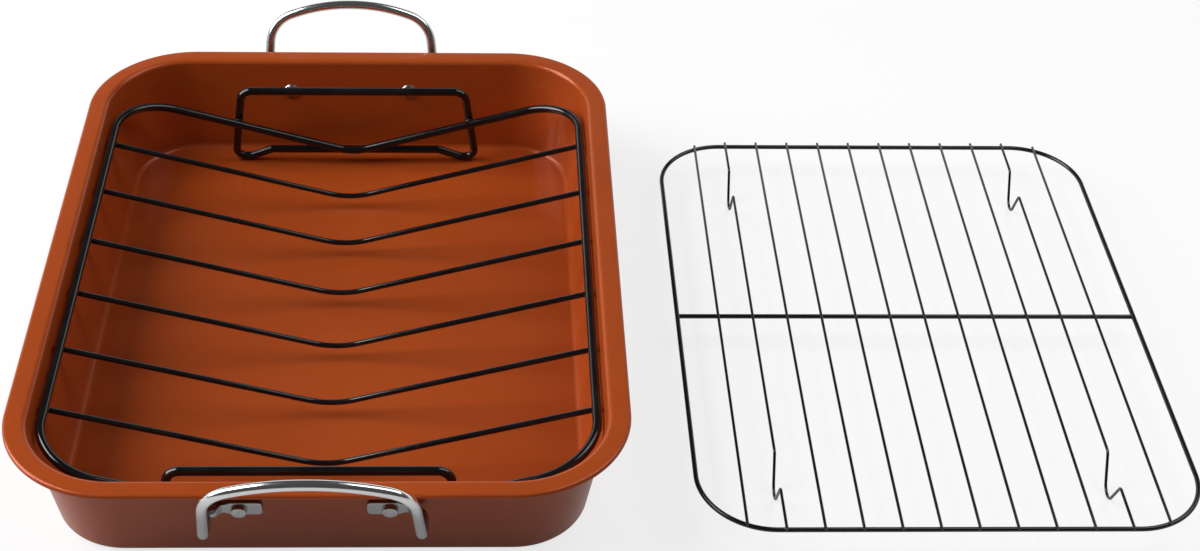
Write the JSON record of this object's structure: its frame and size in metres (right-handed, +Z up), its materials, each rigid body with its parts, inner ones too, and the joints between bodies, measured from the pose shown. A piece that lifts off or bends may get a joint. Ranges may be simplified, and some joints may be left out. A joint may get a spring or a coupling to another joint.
{
  "type": "roasting pan with rack",
  "caption": "Rectangular roasting pan with upright rod handles riveted to its short ends, a V-shaped wire rack that stands in it and a flat wire rack with V feet beside it.",
  "frame": {"origin": "on the surface that the pan stands on, under the middle of the pan's floor", "axes": "+Z up, +Y along the pan towards its back handle, +X across the pan towards the flat rack"},
  "size_m": [0.6618, 0.469, 0.0935],
  "materials": {
    "copper_coat": "copper-orange non-stick coating, semi-gloss with a faint metallic fleck",
    "handle_chrome": "polished chrome rod, its flattened ends satin",
    "rivet_steel": "satin rivet heads",
    "v_rack_black": "gloss black non-stick coating",
    "flat_rack_black": "black non-stick coating, semi-gloss"
  },
  "bodies": {
    "pan": {"pan": "copper_coat", "handle_back": "handle_chrome", "handle_front": "handle_chrome", "rivet_back_left": "rivet_steel", "rivet_back_right": "rivet_steel", "rivet_front_left": "rivet_steel", "rivet_front_right": "rivet_steel"},
    "v_rack": {"v_rack_frame": "v_rack_black", "v_rack_loop_back": "v_rack_black", "v_rack_loop_front": "v_rack_black", "v_rack_rung_1": "v_rack_black", "v_rack_rung_2": "v_rack_black", "v_rack_rung_3": "v_rack_black", "v_rack_rung_4": "v_rack_black", "v_rack_rung_5": "v_rack_black", "v_rack_rung_6": "v_rack_black"},
    "flat_rack": {"flat_rack_frame": "flat_rack_black", "flat_rack_bar": "flat_rack_black", "flat_rack_wire_01": "flat_rack_black", "flat_rack_wire_02": "flat_rack_black", "flat_rack_wire_03": "flat_rack_black", "flat_rack_wire_04": "flat_rack_black", "flat_rack_wire_05": "flat_rack_black", "flat_rack_wire_06": "flat_rack_black", "flat_rack_wire_07": "flat_rack_black", "flat_rack_wire_08": "flat_rack_black", "flat_rack_wire_09": "flat_rack_black", "flat_rack_wire_10": "flat_rack_black", "flat_rack_wire_11": "flat_rack_black", "flat_rack_wire_12": "flat_rack_black"}
  },
  "joints": [
    {"name": "v_rack_lift", "type": "slide", "parent": "pan", "child": "v_rack", "axis": [0, 0, 1], "range_m": [0, 0.09]},
    {"name": "flat_rack_lift", "type": "slide", "parent": "pan", "child": "flat_rack", "axis": [0, 0, 1], "range_m": [0, 0.15]}
  ]
}
